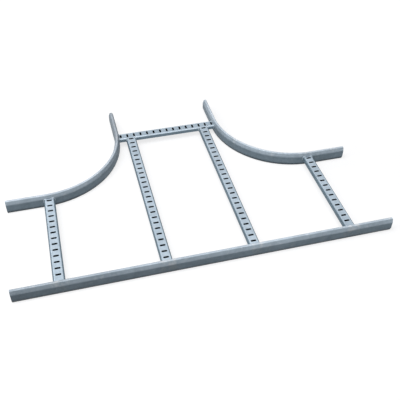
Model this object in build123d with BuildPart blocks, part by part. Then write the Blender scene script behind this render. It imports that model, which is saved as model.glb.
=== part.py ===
"""Cable tray tee of ladder form: three tubular side rails and five slotted rungs, in millimetres.

X runs along the straight rail, Y towards the branch and Z up. The origin is in the middle of the
straight rail's underside, on the centre line of the branch. The tee's centre is the point where the
centre lines of the run and the branch cross.
"""
from build123d import *
from math import sqrt
import os

# Plan of the tee
tray_width = 360.0  # clear between the side rails
bend_radius = 285.0  # centre line of a curved rail
bend_tail = 126.0  # straight end of a curved rail past its bend

# Side rail, a closed tube whose shoulders slope in to a narrow crown and an equal foot
rail_height = 50.0
rail_width = 18.0
rail_crown = 8.0
rail_shoulder = 12.0  # height of each slope
rail_wall = 1.5
rail_corner = 3.0  # outer radius at the crown and the foot
rail_fold = 14.0  # outer radius of the soft folds beside the web

# Rung, a closed tube with round shoulders and a flat foot, punched in its crown alone
rung_width = 36.0
rung_height = 15.0
rung_shoulder = 6.5  # outer radius between the crown and a side
rung_corner = 2.5  # outer radius between a side and the foot
rung_wall = 1.5

# Slots punched across the rungs
slot_length = 18.0
slot_width = 7.0
slot_pitch = 25.0
slot_land = 1.0  # least metal left between a slot and the rung's end

# Places of the rungs
end_rung_inset = 140.0  # from the open end of the run
end_rung_first_slot = 27.0  # from the straight rail's face
long_rung_x = 139.0
long_rung_first_slot = 16.0  # from the straight rail's face
cross_rung_inset = 143.0  # from the open end of the branch
weld_gap = 0.3  # between a curved rail and a rung cut to its curve

# Sizes that follow from those above
half_width = tray_width / 2
rail_line = half_width + rail_width / 2  # from a centre line of the tee to a rail's own
bend_centre = rail_line + bend_radius  # from either centre line of the tee
arm_length = bend_centre + bend_tail  # from the tee's centre to each open end
bend_face_radius = bend_radius + rail_width / 2
rung_start = rail_width / 2  # face of the straight rail
rung_top = rail_height - rail_shoulder  # level with the upper edge of the rail's web
rung_foot = rung_top - rung_height
end_rung_x = arm_length - end_rung_inset
cross_rung_reach = arm_length - cross_rung_inset  # from the tee's centre
cross_rung_y = rail_line + cross_rung_reach

tee_centre = Plane((0, rail_line, 0))


def rail_section(plane):
    """Closed section of a side rail, standing on the plane's local X axis."""
    crown = rail_crown / 2
    side = rail_width / 2
    web_low = rail_shoulder
    web_high = rail_height - rail_shoulder
    with BuildSketch(plane) as section:
        with BuildLine():
            Polyline(
                (-crown, 0),
                (crown, 0),
                (side, web_low),
                (side, web_high),
                (crown, rail_height),
                (-crown, rail_height),
                (-side, web_high),
                (-side, web_low),
                close=True,
            )
        make_face()
        rows = section.vertices().group_by(Axis.Y)
        fillet(rows[1] + rows[2], rail_fold)
        rows = section.vertices().group_by(Axis.Y)
        fillet(rows[0] + rows[-1], rail_corner)
        offset(amount=-rail_wall, mode=Mode.SUBTRACT)
    return section.sketch


def rung_section(plane, hollow=True):
    """Closed section of a rung, or its filled outline, at its height above the plane's local X axis."""
    with BuildSketch(plane) as section:
        with Locations((0, rung_foot)):
            Rectangle(rung_width, rung_height, align=(Align.CENTER, Align.MIN))
        fillet(section.vertices().group_by(Axis.Y)[0], rung_corner)
        fillet(section.vertices().group_by(Axis.Y)[-1], rung_shoulder)
        if hollow:
            offset(amount=-rung_wall, mode=Mode.SUBTRACT)
    return section.sketch


def beyond_the_bend():
    """Plan area past the face of the right curved rail, with the gap that a weld fills."""
    edge = half_width - weld_gap
    with BuildSketch(tee_centre) as area:
        with BuildLine():
            curve = FilletPolyline(
                (arm_length, edge),
                (edge, edge),
                (edge, arm_length),
                radius=bend_face_radius + weld_gap,
            )
            Polyline(curve @ 1, (arm_length, arm_length), curve @ 0)
        make_face()
    return area.sketch


def curved_face_at(distance):
    """Distance of a curved rail's face from one centre line of the tee, at a distance from the other."""
    if distance >= bend_centre:
        return half_width
    return bend_centre - sqrt(bend_face_radius**2 - (bend_centre - distance) ** 2)


def slot_count(length, first_slot):
    """Number of slots that fit between the first slot and the land at the rung's end."""
    room = length - first_slot - slot_width / 2 - slot_land
    return int(room // slot_pitch) + 1


def slot_row(plane, count):
    """Row of slots lying across the plane's local Y axis, the first at its origin."""
    with BuildSketch(plane) as row:
        with Locations(*[(0, step * slot_pitch) for step in range(count)]):
            SlotOverall(slot_length, slot_width)
    return row.sketch


def start_of_rung(x):
    """Upright plane on the straight rail's face, looking along a rung at x."""
    return Plane(origin=(x, rung_start, 0), x_dir=(-1, 0, 0), z_dir=(0, 1, 0))


def middle_of_cross_rung(x):
    """Upright plane at x, looking along the cross rung."""
    return Plane(origin=(x, cross_rung_y, 0), x_dir=(0, 1, 0), z_dir=(1, 0, 0))


# Straight rail
with BuildPart() as straight_rail:
    extrude(rail_section(Plane.YZ), amount=arm_length, both=True)
straight_rail.part.label = "straight_rail"

# Curved rails, swept round a quarter turn with a straight at each end
with BuildPart() as curved_rail_right:
    with BuildLine(tee_centre) as route:
        FilletPolyline(
            (arm_length, rail_line),
            (rail_line, rail_line),
            (rail_line, arm_length),
            radius=bend_radius,
        )
    rail_start = Plane(origin=route.line @ 0, x_dir=(0, -1, 0), z_dir=route.line % 0)
    sweep(rail_section(rail_start))
curved_rail_right.part.label = "curved_rail_right"

with BuildPart() as curved_rail_left:
    mirror(curved_rail_right.part, about=Plane.YZ)
curved_rail_left.part.label = "curved_rail_left"

# End rungs, from the straight rail to a curved rail, and cut to its curve
with BuildPart() as end_rung_right:
    extrude(rung_section(start_of_rung(end_rung_x)), amount=arm_length)
    extrude(beyond_the_bend(), amount=rail_height, mode=Mode.SUBTRACT)
    end_slots = slot_count(half_width + curved_face_at(end_rung_x), end_rung_first_slot)
    first_slot = Plane((end_rung_x, rung_start + end_rung_first_slot, rung_top))
    extrude(slot_row(first_slot, end_slots), amount=-rung_wall, mode=Mode.SUBTRACT)
end_rung_right.part.label = "end_rung_right"

with BuildPart() as end_rung_left:
    mirror(end_rung_right.part, about=Plane.YZ)
end_rung_left.part.label = "end_rung_left"

# Long rungs, from the straight rail to the cross rung, and cut to its side, shoulder and crown
with BuildPart() as long_rung_right:
    extrude(rung_section(start_of_rung(long_rung_x)), amount=cross_rung_y - rung_start)
    cross_outline = rung_section(middle_of_cross_rung(long_rung_x), hollow=False)
    extrude(cross_outline, amount=rung_width, both=True, mode=Mode.SUBTRACT)
    crown_length = cross_rung_y - rung_width / 2 + rung_shoulder - rung_start
    long_slots = slot_count(crown_length, long_rung_first_slot)
    first_slot = Plane((long_rung_x, rung_start + long_rung_first_slot, rung_top))
    extrude(slot_row(first_slot, long_slots), amount=-rung_wall, mode=Mode.SUBTRACT)
long_rung_right.part.label = "long_rung_right"

with BuildPart() as long_rung_left:
    mirror(long_rung_right.part, about=Plane.YZ)
long_rung_left.part.label = "long_rung_left"

# Cross rung, over the mouth of the branch from one curved rail to the other
with BuildPart() as cross_rung:
    extrude(rung_section(middle_of_cross_rung(0)), amount=arm_length)
    extrude(beyond_the_bend(), amount=rail_height, mode=Mode.SUBTRACT)
    mirror(about=Plane.YZ)
    side_slots = slot_count(curved_face_at(cross_rung_reach), slot_pitch)
    first_slot = Plane((-side_slots * slot_pitch, cross_rung_y, rung_top), x_dir=(0, -1, 0))
    extrude(slot_row(first_slot, 2 * side_slots + 1), amount=-rung_wall, mode=Mode.SUBTRACT)
cross_rung.part.label = "cross_rung"

pieces = [
    straight_rail,
    curved_rail_left,
    curved_rail_right,
    end_rung_left,
    end_rung_right,
    long_rung_left,
    long_rung_right,
    cross_rung,
]
os.makedirs("parts", exist_ok=True)
for piece in pieces:
    export_step(piece.part, f"parts/{piece.part.label}.step")
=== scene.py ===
"""The finish, the welds and the studio of a galvanised cable ladder tee, dressed over its CAD frame.

All lengths are in metres. X runs along the straight rail, Y towards the branch and Z up.
"""
import math
import random

import bpy
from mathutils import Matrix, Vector


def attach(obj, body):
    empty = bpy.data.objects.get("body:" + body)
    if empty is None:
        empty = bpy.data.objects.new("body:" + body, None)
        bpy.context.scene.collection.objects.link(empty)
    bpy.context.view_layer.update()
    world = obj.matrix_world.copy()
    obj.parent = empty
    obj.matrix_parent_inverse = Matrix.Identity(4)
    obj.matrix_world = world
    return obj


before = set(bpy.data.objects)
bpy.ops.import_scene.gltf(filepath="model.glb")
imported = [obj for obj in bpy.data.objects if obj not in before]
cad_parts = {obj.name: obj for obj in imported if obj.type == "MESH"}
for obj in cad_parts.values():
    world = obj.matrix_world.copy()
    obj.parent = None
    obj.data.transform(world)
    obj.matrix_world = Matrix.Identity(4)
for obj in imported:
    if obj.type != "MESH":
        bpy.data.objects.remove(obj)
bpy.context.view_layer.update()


# Straight rail
# A long side rail, roll-formed from steel strip into a closed tube. Four rungs are welded to it, and
# the whole tee is then hot-dip galvanised. The zinc is dull blue-grey, clouded and faintly spangled,
# with draw lines along the rail.
def add_node(tree, kind, place, **settings):
    """Adds a node at a place on the sheet, with its properties and its inputs set by name."""
    node = tree.nodes.new(kind)
    node.location = place
    for name, value in settings.items():
        if hasattr(node, name):
            setattr(node, name, value)
        else:
            node.inputs[name.replace("_", " ").title()].default_value = value
    return node


def link(tree, source, target):
    """Joins an output to an input."""
    tree.links.new(source, target)


def feed(tree, value, target):
    """Gives an input an output to follow, or a constant."""
    if isinstance(value, bpy.types.NodeSocket):
        link(tree, value, target)
    else:
        target.default_value = value


def calculate(tree, operation, place, first, second=0.0):
    """One step of arithmetic on one or two values, each an output or a number."""
    node = add_node(tree, "ShaderNodeMath", place, operation=operation)
    feed(tree, first, node.inputs[0])
    feed(tree, second, node.inputs[1])
    return node.outputs["Value"]


def spread(tree, source, place, over, to):
    """Stretches one range of a value to another, clamped at both ends."""
    node = add_node(tree, "ShaderNodeMapRange", place)
    link(tree, source, node.inputs["Value"])
    for name, value in zip(("From Min", "From Max", "To Min", "To Max"), (*over, *to)):
        feed(tree, value, node.inputs[name])
    return node.outputs["Result"]


def noise(tree, where, place, scale, detail, roughness):
    """A soft random pattern."""
    node = add_node(tree, "ShaderNodeTexNoise", place, scale=scale, detail=detail, roughness=roughness)
    link(tree, where, node.inputs["Vector"])
    return node.outputs["Fac"]


def blend(tree, kind, place, factor, under, over):
    """Mixes or multiplies two colours, each an output or a constant."""
    node = add_node(tree, "ShaderNodeMix", place, data_type="RGBA", blend_type=kind)
    feed(tree, factor, node.inputs["Factor"])
    feed(tree, under, node.inputs["A"])
    feed(tree, over, node.inputs["B"])
    return node.outputs["Result"]


def start_group(name, inputs, outputs):
    """Starts a node group, whose sockets have a name and a kind each, with its two end nodes."""
    group = bpy.data.node_groups.new(name, "ShaderNodeTree")
    for direction, sockets in (("INPUT", inputs), ("OUTPUT", outputs)):
        for socket, kind in sockets.items():
            group.interface.new_socket(socket, in_out=direction, socket_type=f"NodeSocket{kind}")
    given = add_node(group, "NodeGroupInput", (-1400, 0))
    made = add_node(group, "NodeGroupOutput", (900, 0))
    return group, given, made


spangle_scale = 115.0  # cells of a pattern in a metre, as are the other scales
cloud_scale = 14.0
grain_scale = 620.0
bloom_scale = 46.0
line_scale = 420.0
line_stretch = 0.02  # share of their scale that the draw lines keep along the steel
spangle_share = 0.22  # of the way from the dark zinc to the light, as are the other shares
cloud_share = 0.50
line_share = 0.20
grain_share = 0.12
most_bloom = 0.55
weld_bloom = 0.13  # how much readier the bloom is beside a weld
bare_metallic = 0.30


def zinc_coat_group():
    """Spangle, clouding, draw lines, white bloom and grain of a hot-dip zinc coat."""
    group, given, made = start_group(
        "zinc_coat",
        inputs={
            "Place": "Vector",
            "Across": "Float",
            "Along": "Float",
            "Up": "Float",
            "Near Weld": "Float",
            "Dark Zinc": "Color",
            "Light Zinc": "Color",
            "Bloom": "Color",
        },
        outputs={"Colour": "Color", "Roughness": "Float", "Metallic": "Float", "Height": "Float"},
    )
    place = given.outputs["Place"]

    spangle = add_node(group, "ShaderNodeTexVoronoi", (-1100, 420), scale=spangle_scale)
    link(group, place, spangle.inputs["Vector"])
    crystal = add_node(group, "ShaderNodeSeparateColor", (-900, 420))
    link(group, spangle.outputs["Color"], crystal.inputs["Color"])
    border = add_node(
        group, "ShaderNodeTexVoronoi", (-1100, 180), feature="DISTANCE_TO_EDGE", scale=spangle_scale,
    )
    link(group, place, border.inputs["Vector"])
    cloud = noise(group, place, (-1100, -60), cloud_scale, detail=5.0, roughness=0.62)
    grain = noise(group, place, (-1100, -300), grain_scale, detail=4.0, roughness=0.65)
    patches = noise(group, place, (-1100, -540), bloom_scale, detail=6.0, roughness=0.7)
    drawn = add_node(group, "ShaderNodeCombineXYZ", (-1200, -800))
    link(group, given.outputs["Across"], drawn.inputs["X"])
    link(group, given.outputs["Up"], drawn.inputs["Y"])
    stretched = calculate(group, "MULTIPLY", (-1400, -900), given.outputs["Along"], line_stretch)
    link(group, stretched, drawn.inputs["Z"])
    lines = noise(group, drawn.outputs["Vector"], (-1000, -800), line_scale, detail=3.0, roughness=0.6)

    tone = calculate(group, "MULTIPLY", (-650, 420), crystal.outputs["Red"], spangle_share)
    clouding = spread(group, cloud, (-850, -60), over=(0.34, 0.66), to=(0.0, cloud_share))
    tone = calculate(group, "ADD", (-500, 420), tone, clouding)
    lining = spread(group, lines, (-800, -800), over=(0.3, 0.7), to=(0.0, line_share))
    tone = calculate(group, "ADD", (-350, 420), tone, lining)
    graining = spread(group, grain, (-850, -300), over=(0.3, 0.7), to=(0.0, grain_share))
    tone = calculate(group, "ADD", (-200, 420), tone, graining)
    zinc = blend(group, "MIX", (0, 300), tone, given.outputs["Dark Zinc"], given.outputs["Light Zinc"])
    readier = calculate(group, "MULTIPLY", (-1100, -700), given.outputs["Near Weld"], weld_bloom)
    thick = calculate(group, "ADD", (-900, -640), patches, readier)
    bloom = spread(group, thick, (-850, -540), over=(0.56, 0.72), to=(0.0, most_bloom))
    coated = blend(group, "MIX", (250, 300), bloom, zinc, given.outputs["Bloom"])
    link(group, coated, made.inputs["Colour"])

    rough = spread(group, crystal.outputs["Green"], (-600, 150), over=(0.0, 1.0), to=(0.40, 0.52))
    rough_clouds = spread(group, cloud, (-600, -60), over=(0.3, 0.7), to=(0.0, 0.10))
    rough = calculate(group, "ADD", (-300, 100), rough, rough_clouds)
    rough_bloom = calculate(group, "MULTIPLY", (-300, -500), bloom, 0.3)
    rough = calculate(group, "ADD", (-100, 60), rough, rough_bloom)
    link(group, rough, made.inputs["Roughness"])
    covered = calculate(group, "MULTIPLY", (0, -260), bloom, 1.2)
    bare = calculate(group, "SUBTRACT", (200, -200), 1.0, covered)
    metallic = calculate(group, "MULTIPLY", (400, -200), bare, bare_metallic)
    link(group, metallic, made.inputs["Metallic"])

    height = calculate(group, "MULTIPLY", (-300, -300), grain, 0.35)
    line_height = calculate(group, "MULTIPLY", (-300, -700), lines, 0.25)
    height = calculate(group, "ADD", (-100, -300), height, line_height)
    from_border = border.outputs["Distance"]
    border_height = spread(group, from_border, (-600, -420), over=(0.0, 0.002), to=(0.0, 0.25))
    height = calculate(group, "ADD", (100, -400), height, border_height)
    bloom_height = calculate(group, "MULTIPLY", (0, -700), bloom, 0.3)
    height = calculate(group, "ADD", (300, -500), height, bloom_height)
    link(group, height, made.inputs["Height"])
    return group


zinc_coat = zinc_coat_group()
red_fade = 1.22  # powers of a face's painted tone, so that the painted shade is bluer
green_fade = 1.06


def facing_shade_group(name, tones, height_tones=((0.0, 1.0), (0.05, 1.0))):
    """Painted light and shade on a rolled section: how bright its zinc is painted on each face, by how
    far the face looks up.

    Each of the tones is how far a face looks up, from -1 for straight down to 1, and its brightness.
    The height tones are two heights with a brightness each.
    """
    group, given, made = start_group(
        name,
        inputs={"Facing": "Vector", "Up": "Float", "Zinc": "Color"},
        outputs={"Colour": "Color"},
    )
    turned = add_node(group, "ShaderNodeSeparateXYZ", (-700, -300))
    link(group, given.outputs["Facing"], turned.inputs["Vector"])
    shade = add_node(group, "ShaderNodeValToRGB", (-300, -300))
    upward = spread(group, turned.outputs["Z"], (-500, -300), over=(-1.0, 1.0), to=(0.0, 1.0))
    link(group, upward, shade.inputs["Fac"])
    stops = shade.color_ramp.elements
    stops.remove(stops[1])
    for up, tone in tones[1:]:
        stops.new((up + 1) / 2)
    for stop, (up, tone) in zip(stops, tones):
        stop.position = (up + 1) / 2
        stop.color = (tone ** red_fade, tone ** green_fade, tone, 1)
    toned = blend(group, "MULTIPLY", (0, 0), 1.0, given.outputs["Zinc"], shade.outputs["Color"])
    (low, low_tone), (high, high_tone) = height_tones
    fade = spread(group, given.outputs["Up"], (0, -300), over=(low, high), to=(low_tone, high_tone))
    faded = blend(group, "MULTIPLY", (250, 0), 1.0, toned, fade)
    link(group, faded, made.inputs["Colour"])
    return group


def galvanised_steel(name, dark, light, facing_shade, across, along, near_weld=None, bump=0.00012):
    """A zinc-coated steel finish whose draw lines follow the piece.

    Across, along and near_weld are functions, and each makes its value on the material's sheet.
    """
    material = bpy.data.materials.new(name)
    material.use_nodes = True
    tree = material.node_tree
    shader = tree.nodes["Principled BSDF"]
    shader.inputs["Specular IOR Level"].default_value = 0.22
    spot = add_node(tree, "ShaderNodeTexCoord", (-1500, 0))
    parts = add_node(tree, "ShaderNodeSeparateXYZ", (-1300, -200))
    link(tree, spot.outputs["Object"], parts.inputs["Vector"])
    coat = add_node(tree, "ShaderNodeGroup", (-700, 0), node_tree=zinc_coat)
    coat.inputs["Dark Zinc"].default_value = (*dark, 1)
    coat.inputs["Light Zinc"].default_value = (*light, 1)
    coat.inputs["Bloom"].default_value = (0.66, 0.69, 0.71, 1)
    link(tree, spot.outputs["Object"], coat.inputs["Place"])
    link(tree, across(tree, parts), coat.inputs["Across"])
    link(tree, along(tree, parts), coat.inputs["Along"])
    link(tree, parts.outputs["Z"], coat.inputs["Up"])
    if near_weld:
        link(tree, near_weld(tree, parts), coat.inputs["Near Weld"])
    # painted light and shade: each face's zinc is lighter or darker by how far it looks up
    shaded = add_node(tree, "ShaderNodeGroup", (-350, 100), node_tree=facing_shade)
    link(tree, spot.outputs["Normal"], shaded.inputs["Facing"])
    link(tree, parts.outputs["Z"], shaded.inputs["Up"])
    link(tree, coat.outputs["Colour"], shaded.inputs["Zinc"])
    link(tree, shaded.outputs["Colour"], shader.inputs["Base Color"])
    link(tree, coat.outputs["Roughness"], shader.inputs["Roughness"])
    link(tree, coat.outputs["Metallic"], shader.inputs["Metallic"])
    relief = add_node(tree, "ShaderNodeBump", (-400, -300), strength=0.5, distance=bump)
    link(tree, coat.outputs["Height"], relief.inputs["Height"])
    link(tree, relief.outputs["Normal"], shader.inputs["Normal"])
    return material


def finish_node(node, material):
    """Gives a CAD node its finish."""
    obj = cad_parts[node]
    obj.data.materials.clear()
    obj.data.materials.append(material)


def end_tone_group():
    """Zinc that is darker towards one end of its piece."""
    group, given, made = start_group(
        "end_tone",
        inputs={
            "Zinc": "Color",
            "Along": "Float",
            "Start": "Float",
            "Stop": "Float",
            "Start Tone": "Float",
            "Stop Tone": "Float",
        },
        outputs={"Colour": "Color"},
    )
    tone = spread(
        group, given.outputs["Along"], (-300, -200),
        over=(given.outputs["Start"], given.outputs["Stop"]),
        to=(given.outputs["Start Tone"], given.outputs["Stop Tone"]),
    )
    graded = blend(group, "MULTIPLY", (0, 0), 1.0, given.outputs["Zinc"], tone)
    link(group, graded, made.inputs["Colour"])
    return group


end_tone = end_tone_group()


def tone_towards_end(material, axis, start, stop, start_tone, stop_tone):
    """Grades a finish's brightness between two places on an axis."""
    tree = material.node_tree
    shader = tree.nodes["Principled BSDF"]
    even = shader.inputs["Base Color"].links[0].from_socket
    parts = next(node for node in tree.nodes if node.bl_idname == "ShaderNodeSeparateXYZ")
    graded = add_node(tree, "ShaderNodeGroup", (-150, 250), node_tree=end_tone)
    graded.inputs["Start"].default_value = start
    graded.inputs["Stop"].default_value = stop
    graded.inputs["Start Tone"].default_value = start_tone
    graded.inputs["Stop Tone"].default_value = stop_tone
    link(tree, parts.outputs[axis], graded.inputs["Along"])
    link(tree, even, graded.inputs["Zinc"])
    link(tree, graded.outputs["Colour"], shader.inputs["Base Color"])


rail_dark = (0.270, 0.333, 0.388)
rail_light = (0.450, 0.530, 0.605)
# Painted light and shade: the rail's web and lower slope darker and its crown brighter, by how far each
# face looks up; the rail is also darker towards its bottom.
rail_facing_shade = facing_shade_group("rail_facing_shade", (
    (-1.0, 0.26),  # foot
    (-0.85, 0.24),
    (-0.385, 0.17),  # lower slope, the darkest painted shade
    (-0.2, 0.40),
    (-0.02, 0.48),  # web
    (0.06, 0.62),
    (0.15, 0.82),
    (0.25, 0.92),
    (0.385, 0.93),  # slope
    (0.90, 0.93),
    (0.98, 1.30),  # crown, a painted highlight
), height_tones=((0.010, 0.92), (0.038, 1.04)))

end_rung_x = 0.460
long_rung_x = 0.139


def rung_distance_group():
    """Distance from the centre line of the nearest of the four rungs that cross the run."""
    group, given, made = start_group(
        "rung_distance",
        inputs={"Along": "Float"},
        outputs={"Across": "Float"},
    )
    side = calculate(group, "ABSOLUTE", (-400, 0), given.outputs["Along"])
    from_end = calculate(group, "SUBTRACT", (-200, 100), side, end_rung_x)
    from_end = calculate(group, "ABSOLUTE", (0, 100), from_end)
    from_long = calculate(group, "SUBTRACT", (-200, -100), side, long_rung_x)
    from_long = calculate(group, "ABSOLUTE", (0, -100), from_long)
    nearest = calculate(group, "MINIMUM", (250, 0), from_end, from_long)
    link(group, nearest, made.inputs["Across"])
    return group


rung_distance = rung_distance_group()


def across_the_rung(tree, parts):
    """Distance from the nearest rung's centre line, on a material's sheet."""
    nearest = add_node(tree, "ShaderNodeGroup", (-1000, -500), node_tree=rung_distance)
    link(tree, parts.outputs["X"], nearest.inputs["Along"])
    return nearest.outputs["Across"]


def beside_the_rungs(tree, parts):
    """1 where a rung is welded on, falling off to 0 at 40 mm from its centre line."""
    return spread(tree, across_the_rung(tree, parts), (-700, -700), over=(0.014, 0.040), to=(1.0, 0.0))


straight_rail_zinc = galvanised_steel(
    "straight_rail_zinc", rail_dark, rail_light, rail_facing_shade,
    across=lambda tree, parts: parts.outputs["Y"],
    along=lambda tree, parts: parts.outputs["X"],
    near_weld=beside_the_rungs,
)
tone_towards_end(straight_rail_zinc, "X", start=-0.60, stop=0.20, start_tone=0.73, stop_tone=1.06)
finish_node("straight_rail", straight_rail_zinc)


# Curved rails
# The same tube, bent cold round a former, so its draw lines follow the bend, and welded to an end
# rung and to the cross rung. The zinc is more even than on the straight rail, brightest on the right
# and dullest up the left leg.
bend_centre_x = 0.474
bend_centre_y = 0.663


def bend_distance_group():
    """Distance from the bend's centre, or beside a straight tail, from that centre's line."""
    group, given, made = start_group(
        "bend_distance",
        inputs={"X": "Float", "Y": "Float"},
        outputs={"Across": "Float", "Along": "Float"},
    )
    side = calculate(group, "ABSOLUTE", (-600, 100), given.outputs["X"])
    inward = calculate(group, "SUBTRACT", (-400, 100), side, bend_centre_x)
    inward = calculate(group, "MINIMUM", (-200, 100), inward, 0.0)
    back = calculate(group, "SUBTRACT", (-400, -100), given.outputs["Y"], bend_centre_y)
    back = calculate(group, "MINIMUM", (-200, -100), back, 0.0)
    flat = add_node(group, "ShaderNodeCombineXYZ", (0, 0))
    link(group, inward, flat.inputs["X"])
    link(group, back, flat.inputs["Y"])
    reach = add_node(group, "ShaderNodeVectorMath", (200, 0), operation="LENGTH")
    link(group, flat.outputs["Vector"], reach.inputs[0])
    link(group, reach.outputs["Value"], made.inputs["Across"])
    along = calculate(group, "SUBTRACT", (0, -300), side, given.outputs["Y"])
    link(group, along, made.inputs["Along"])
    return group


bend_distance = bend_distance_group()


def bend_node(tree, parts):
    """The bend's distances, on a material's sheet."""
    node = add_node(tree, "ShaderNodeGroup", (-1000, -500), node_tree=bend_distance)
    link(tree, parts.outputs["X"], node.inputs["X"])
    link(tree, parts.outputs["Y"], node.inputs["Y"])
    return node


# Painted light and shade: the curved rails' web and lower slope darker and their crown brighter, by how
# far each face looks up.
bend_facing_shade = facing_shade_group("bend_facing_shade", (
    (-1.0, 0.26),  # foot
    (-0.85, 0.24),
    (-0.385, 0.17),  # lower slope
    (-0.2, 0.44),
    (0.0, 0.56),  # web
    (0.12, 0.70),
    (0.24, 0.90),
    (0.385, 1.00),  # slope
    (0.88, 1.00),
    (0.975, 1.52),  # crown, a painted highlight
))
for node, brighter, branch_tone in (("curved_rail_left", 0.96, 0.72), ("curved_rail_right", 1.06, 1.0)):
    dark = [value * brighter for value in rail_dark]
    light = [value * brighter for value in rail_light]
    bend_zinc = galvanised_steel(
        f"{node}_zinc", dark, light, bend_facing_shade,
        across=lambda tree, parts: bend_node(tree, parts).outputs["Across"],
        along=lambda tree, parts: bend_node(tree, parts).outputs["Along"],
    )
    tone_towards_end(bend_zinc, "Y", start=0.48, stop=0.64, start_tone=1.0, stop_tone=branch_tone)
    finish_node(node, bend_zinc)


# Rungs
# Closed tubes rolled from slotted strip, welded between the rails and galvanised with them.
# Their strip is a little brighter and smoother than the rails'; inside, the zinc is painted near black as
# shade.
rung_half_width = 0.018
rung_foot_z = 0.023
rung_top_z = 0.038
shoulder = 0.0065  # outer radius between the crown and a side
crown_half_width = rung_half_width - shoulder
shoulder_z = rung_top_z - shoulder
cross_rung_y = 0.646
skin = 0.0004  # depth under the shoulder, sides and crown at which the painted shade begins
foot_skin = 0.0007


def inside_shade_group():
    """Mask of a rung's inner walls and of its slots' edges, from the section's own outline, where shade
    is painted.
    """
    group, given, made = start_group(
        "inside_shade",
        inputs={"Across": "Float", "Up": "Float"},
        outputs={"Inside": "Float"},
    )
    across = given.outputs["Across"]
    up = given.outputs["Up"]
    out = calculate(group, "SUBTRACT", (-650, 200), across, crown_half_width)
    out = calculate(group, "MAXIMUM", (-500, 200), out, 0.0)
    above = calculate(group, "SUBTRACT", (-650, 0), up, shoulder_z)
    above = calculate(group, "MAXIMUM", (-500, 0), above, 0.0)
    out_squared = calculate(group, "MULTIPLY", (-350, 200), out, out)
    above_squared = calculate(group, "MULTIPLY", (-350, 0), above, above)
    past = calculate(group, "ADD", (-200, 100), out_squared, above_squared)
    past = calculate(group, "SQRT", (-50, 100), past)
    under_skin = calculate(group, "LESS_THAN", (150, 100), past, shoulder - skin)
    over_foot = calculate(group, "GREATER_THAN", (150, -100), up, rung_foot_z + foot_skin)
    inside = calculate(group, "MULTIPLY", (400, 0), under_skin, over_foot)
    link(group, inside, made.inputs["Inside"])
    return group


inside_shade = inside_shade_group()


def across_the_cross_rung(tree, parts):
    """Distance from the cross rung's centre line, on a material's sheet."""
    off = calculate(tree, "SUBTRACT", (-1100, -400), parts.outputs["Y"], cross_rung_y)
    return calculate(tree, "ABSOLUTE", (-1000, -400), off)


def paint_inside_shade(material, across, back=None):
    """Paints shade, near black, on what lies inside a rung's outline, or with a back, only on what is in
    front of that Y.
    """
    tree = material.node_tree
    shader = tree.nodes["Principled BSDF"]
    outer = shader.inputs["Base Color"].links[0].from_socket
    parts = next(node for node in tree.nodes if node.bl_idname == "ShaderNodeSeparateXYZ")
    mask = add_node(tree, "ShaderNodeGroup", (-400, 400), node_tree=inside_shade)
    link(tree, across(tree, parts), mask.inputs["Across"])
    link(tree, parts.outputs["Z"], mask.inputs["Up"])
    dark = mask.outputs["Inside"]
    if back is not None:
        in_front = calculate(tree, "LESS_THAN", (-450, 600), parts.outputs["Y"], back)
        dark = calculate(tree, "MULTIPLY", (-300, 500), dark, in_front)
    # painted shade: near-black zinc inside the rung and on its slots' edges
    inner = blend(tree, "MIX", (-200, 300), dark, outer, (0.004, 0.009, 0.016, 1))
    link(tree, inner, shader.inputs["Base Color"])


rung_dark = (0.375, 0.460, 0.540)
rung_light = (0.590, 0.695, 0.795)
lighter_foot = ((0.0235, 1.6), (shoulder_z, 1.0))  # lighter towards the foot of a rung's sides
# Painted light and shade: a rung's sides and shoulders darker, with a painted highlight along the crown's
# edges, by how far each face looks up.
rung_facing_shade = facing_shade_group("rung_facing_shade", (
    (-1.0, 0.3),  # foot
    (-0.2, 0.36),
    (0.0, 0.40),  # side
    (0.80, 0.37),
    (0.91, 0.55),
    (0.975, 1.06),  # edge of the crown, a painted highlight
    (0.995, 0.99),
    (1.0, 0.99),  # crown
), height_tones=lighter_foot)
cross_rung_facing_shade = facing_shade_group("cross_rung_facing_shade", (
    (-1.0, 0.3),  # foot
    (-0.2, 0.38),
    (0.0, 0.42),  # side
    (0.45, 0.50),
    (0.75, 0.80),
    (0.93, 1.42),  # edge of the crown, a painted highlight
    (0.998, 0.87),
    (1.0, 0.87),  # crown
), height_tones=lighter_foot)

rung_zinc = galvanised_steel(
    "rung_zinc", rung_dark, rung_light, rung_facing_shade,
    across=across_the_rung,
    along=lambda tree, parts: parts.outputs["Y"],
)
paint_inside_shade(rung_zinc, across_the_rung)
for node in ("end_rung_left", "end_rung_right", "long_rung_left", "long_rung_right"):
    finish_node(node, rung_zinc)

cross_rung_zinc = galvanised_steel(
    "cross_rung_zinc", rung_dark, rung_light, cross_rung_facing_shade,
    across=across_the_cross_rung,
    along=lambda tree, parts: parts.outputs["X"],
)
paint_inside_shade(cross_rung_zinc, across_the_cross_rung)
paint_inside_shade(cross_rung_zinc, across_the_rung, back=cross_rung_y - crown_half_width)  # painted shade in the long rungs too
finish_node("cross_rung", cross_rung_zinc)


# Welds
# A short fillet weld up each side of a rung's end and over its shoulder, made before galvanising,
# so that the zinc lies thick and pale on its ripples.
weld_foot_z = 0.025
onto_crown = 0.004
bead = 0.0020  # radius of one ripple
ripple = 0.0014  # from one ripple to the next
flatness = 0.66  # length of a ripple along the bead, in widths of it
stand_off = 0.0003  # of a ripple's centre from both pieces
draw = random.Random(7)

weld_dark = (0.40, 0.47, 0.53)
weld_light = (0.66, 0.73, 0.79)
# Painted shade: a bead darker on faces that look sideways or down.
weld_facing_shade = facing_shade_group("weld_facing_shade", ((-1.0, 0.5), (0.0, 0.72), (0.5, 0.95), (1.0, 1.1)))
weld_zinc = galvanised_steel(
    "weld_zinc", weld_dark, weld_light, weld_facing_shade,
    across=lambda tree, parts: parts.outputs["X"],
    along=lambda tree, parts: parts.outputs["Y"],
    bump=0.0002,
)


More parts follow.
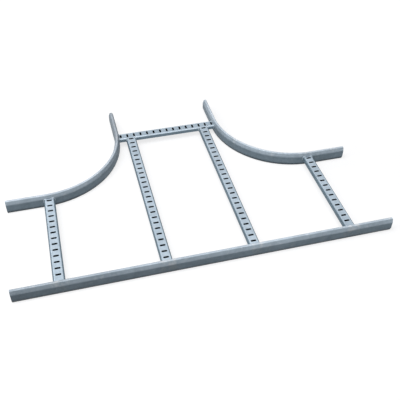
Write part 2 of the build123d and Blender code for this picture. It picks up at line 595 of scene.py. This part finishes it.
def model_weld(name, onto_shoulder):
    """One bead in the corner between a rung's side, at X 0, and the piece that it meets, at Y 0.

    Over the rung's shoulder it follows a flat web, or the mitre with another rung's shoulder.
    """
    up_the_side = shoulder_z - weld_foot_z
    round_it = shoulder * math.pi / 2
    length = up_the_side + round_it + (0.0 if onto_shoulder else onto_crown)
    bpy.ops.object.select_all(action="DESELECT")
    ripples = []
    for step in range(int(length / ripple) + 1):
        run = step * ripple
        turn = min(max(run - up_the_side, 0.0) / shoulder, math.pi / 2)
        over = max(run - up_the_side - round_it, 0.0)
        out = shoulder + stand_off
        x = out * math.cos(turn) - shoulder - over
        y = stand_off - (shoulder * (1 - math.cos(turn)) if onto_shoulder else 0.0)
        z = weld_foot_z + min(run, up_the_side) + out * math.sin(turn)
        size = draw.uniform(0.86, 1.10)
        bpy.ops.mesh.primitive_uv_sphere_add(
            segments=16, ring_count=10, radius=bead, location=(x, y, z),
            rotation=(0.0, -turn, draw.uniform(-0.2, 0.2)), scale=(size, size, flatness),
        )
        ripples.append(bpy.context.active_object)
    for one in ripples:
        one.select_set(True)
    bpy.context.view_layer.objects.active = ripples[0]
    bpy.ops.object.join()
    weld = bpy.context.active_object
    weld.name = name
    bpy.ops.object.transform_apply(location=True, rotation=True, scale=True)
    melt = weld.modifiers.new("melt", "REMESH")
    melt.mode = "VOXEL"
    melt.voxel_size = 0.00045
    soften = weld.modifiers.new("soften", "SMOOTH")
    soften.factor = 0.5
    soften.iterations = 5
    for modifier in ("melt", "soften"):
        bpy.ops.object.modifier_apply(modifier=modifier)
    bpy.ops.object.shade_smooth()
    weld.data.materials.append(weld_zinc)
    return weld


def lay_weld(master, name, place, turn, hand):
    """Copies a bead into a corner, turned about the upright and mirrored where hand is -1."""
    bpy.ops.object.select_all(action="DESELECT")
    laid = master.copy()
    laid.data = master.data.copy()
    laid.name = name
    bpy.context.collection.objects.link(laid)
    laid.location = (*place, 0.0)
    laid.rotation_euler = (0.0, 0.0, turn)
    laid.scale = (hand, 1.0, 1.0)
    laid.select_set(True)
    bpy.context.view_layer.objects.active = laid
    bpy.ops.object.transform_apply(location=True, rotation=True, scale=True)
    if hand < 0:
        bpy.ops.object.mode_set(mode="EDIT")
        bpy.ops.mesh.select_all(action="SELECT")
        bpy.ops.mesh.normals_make_consistent(inside=False)
        bpy.ops.object.mode_set(mode="OBJECT")
    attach(laid, "root")


rail_weld = model_weld("rail_weld", onto_shoulder=False)
rung_weld = model_weld("rung_weld", onto_shoulder=True)

rail_face_y = 0.009
bend_face = 0.294  # radius of a curved rail's face


def bent_face(distance, centre):
    """Place of a curved rail's face on one axis, at a distance along the other from the bend's centre."""
    return centre - math.sqrt(bend_face ** 2 - min(distance, 0.0) ** 2)


for side, where in ((-1, "left"), (1, "right")):
    for edge in (-1, 1):
        flank = "outer" if edge == side else "inner"
        for rung, x in (("end_rung", side * end_rung_x), ("long_rung", side * long_rung_x)):
            corner = x + edge * rung_half_width
            lay_weld(rail_weld, f"weld_{rung}_{where}_rail_{flank}", (corner, rail_face_y), 0.0, edge)
        corner = side * end_rung_x + edge * rung_half_width
        face = bent_face(abs(corner) - bend_centre_x, bend_centre_y)
        lay_weld(rail_weld, f"weld_end_rung_{where}_bend_{flank}", (corner, face), math.pi, -edge)
        corner = side * long_rung_x + edge * rung_half_width
        face = cross_rung_y - rung_half_width
        lay_weld(rung_weld, f"weld_long_rung_{where}_cross_{flank}", (corner, face), math.pi, -edge)
        corner = cross_rung_y + edge * rung_half_width
        face = side * bent_face(corner - bend_centre_y, bend_centre_x)
        flank = "back" if edge > 0 else "front"
        quarter = side * math.pi / 2
        lay_weld(rail_weld, f"weld_cross_rung_{where}_{flank}", (face, corner), quarter, side * edge)
bpy.data.objects.remove(rail_weld)
bpy.data.objects.remove(rung_weld)


# Floor
# A plain pale studio floor, white to the camera and in the metal's shine, with the tee's soft shadow.
# It glows a little more away from the tee, where the lamps reach it less.
glow_distance = (0.8, 3.0)  # from the tee's origin
glow_strength = (0.73, 0.95)


def seen_rays(tree):
    """1 for a ray from the camera, or one that metal has reflected or glass has let through."""
    rays = add_node(tree, "ShaderNodeLightPath", (-800, 300))
    camera_ray, glossy_ray = rays.outputs["Is Camera Ray"], rays.outputs["Is Glossy Ray"]
    seen = calculate(tree, "MAXIMUM", (-600, 300), camera_ray, glossy_ray)
    return calculate(tree, "MAXIMUM", (-400, 300), seen, rays.outputs["Is Transmission Ray"])


bpy.ops.mesh.primitive_plane_add(size=30.0, location=(0.0, 0.0, -0.0005))
floor = bpy.context.active_object
floor.name = "studio_floor"
paper = bpy.data.materials.new("studio_paper")
paper.use_nodes = True
tree = paper.node_tree
tree.nodes.remove(tree.nodes["Principled BSDF"])
dull = add_node(tree, "ShaderNodeBsdfDiffuse", (-450, 0))
dull.inputs["Color"].default_value = (0.36, 0.36, 0.37, 1)
spot = add_node(tree, "ShaderNodeTexCoord", (-1200, -300))
reach = add_node(tree, "ShaderNodeVectorMath", (-1000, -300), operation="LENGTH")
link(tree, spot.outputs["Object"], reach.inputs[0])
glow = add_node(tree, "ShaderNodeEmission", (-450, -150))
strength = spread(tree, reach.outputs["Value"], (-700, -300), over=glow_distance, to=glow_strength)
link(tree, strength, glow.inputs["Strength"])
bright = add_node(tree, "ShaderNodeAddShader", (-250, -80))
link(tree, dull.outputs["BSDF"], bright.inputs[0])
link(tree, glow.outputs["Emission"], bright.inputs[1])
choice = add_node(tree, "ShaderNodeMixShader", (0, 0))
link(tree, seen_rays(tree), choice.inputs["Fac"])
link(tree, dull.outputs["BSDF"], choice.inputs[1])
link(tree, bright.outputs["Shader"], choice.inputs[2])
link(tree, choice.outputs["Shader"], tree.nodes["Material Output"].inputs["Surface"])
floor.data.materials.append(paper)


# Light
# A broad soft lamp above and a little to the left, a weaker one on the left, a small one behind on the
# left that brings out the edges, and a dim sky that the camera sees as white.
def soft_lamp(name, place, aim, width, length, power):
    """Hangs a soft rectangular lamp that looks at a point."""
    bpy.ops.object.light_add(type="AREA", location=place)
    lamp = bpy.context.active_object
    lamp.name = name
    lamp.data.shape = "RECTANGLE"
    lamp.data.size = width
    lamp.data.size_y = length
    lamp.data.energy = power
    lamp.rotation_euler = (Vector(aim) - Vector(place)).to_track_quat("-Z", "Y").to_euler()


soft_lamp("overhead_lamp", (-0.6, -0.3, 2.8), aim=(0.0, 0.35, 0.0), width=2.8, length=2.0, power=61.0)
soft_lamp("side_lamp", (-2.2, -0.4, 1.8), aim=(0.0, 0.3, 0.0), width=1.6, length=1.6, power=12.0)
soft_lamp("edge_lamp", (-1.7, 2.6, 1.9), aim=(-0.1, 0.3, 0.0), width=0.9, length=0.9, power=9.0)

sky = bpy.data.worlds.new("studio_sky")
bpy.context.scene.world = sky
sky.use_nodes = True
tree = sky.node_tree
dim = tree.nodes["Background"]
dim.inputs["Color"].default_value = (1, 1, 1, 1)
dim.inputs["Strength"].default_value = 0.22
white = add_node(tree, "ShaderNodeBackground", (0, -200))
white.inputs["Color"].default_value = (1, 1, 1, 1)
white.inputs["Strength"].default_value = 1.0
choice = add_node(tree, "ShaderNodeMixShader", (250, 0))
link(tree, seen_rays(tree), choice.inputs["Fac"])
link(tree, dim.outputs["Background"], choice.inputs[1])
link(tree, white.outputs["Background"], choice.inputs[2])
link(tree, choice.outputs["Shader"], tree.nodes["World Output"].inputs["Surface"])


# Camera
# At the photograph's viewing angle: above the straight rail and left of the branch's line.
bpy.ops.object.camera_add(
    location=(-0.36763, -1.16853, 1.42483),
    rotation=[math.radians(turn) for turn in (46.5556, -0.7668, -14.7964)],
)
camera = bpy.context.active_object
camera.name = "photo_camera"
camera.data.lens = 54.597
camera.data.sensor_width = 36.0
camera.data.clip_start = 0.05
camera.data.clip_end = 50.0
bpy.context.scene.camera = camera
bpy.context.scene.view_settings.view_transform = "Standard"
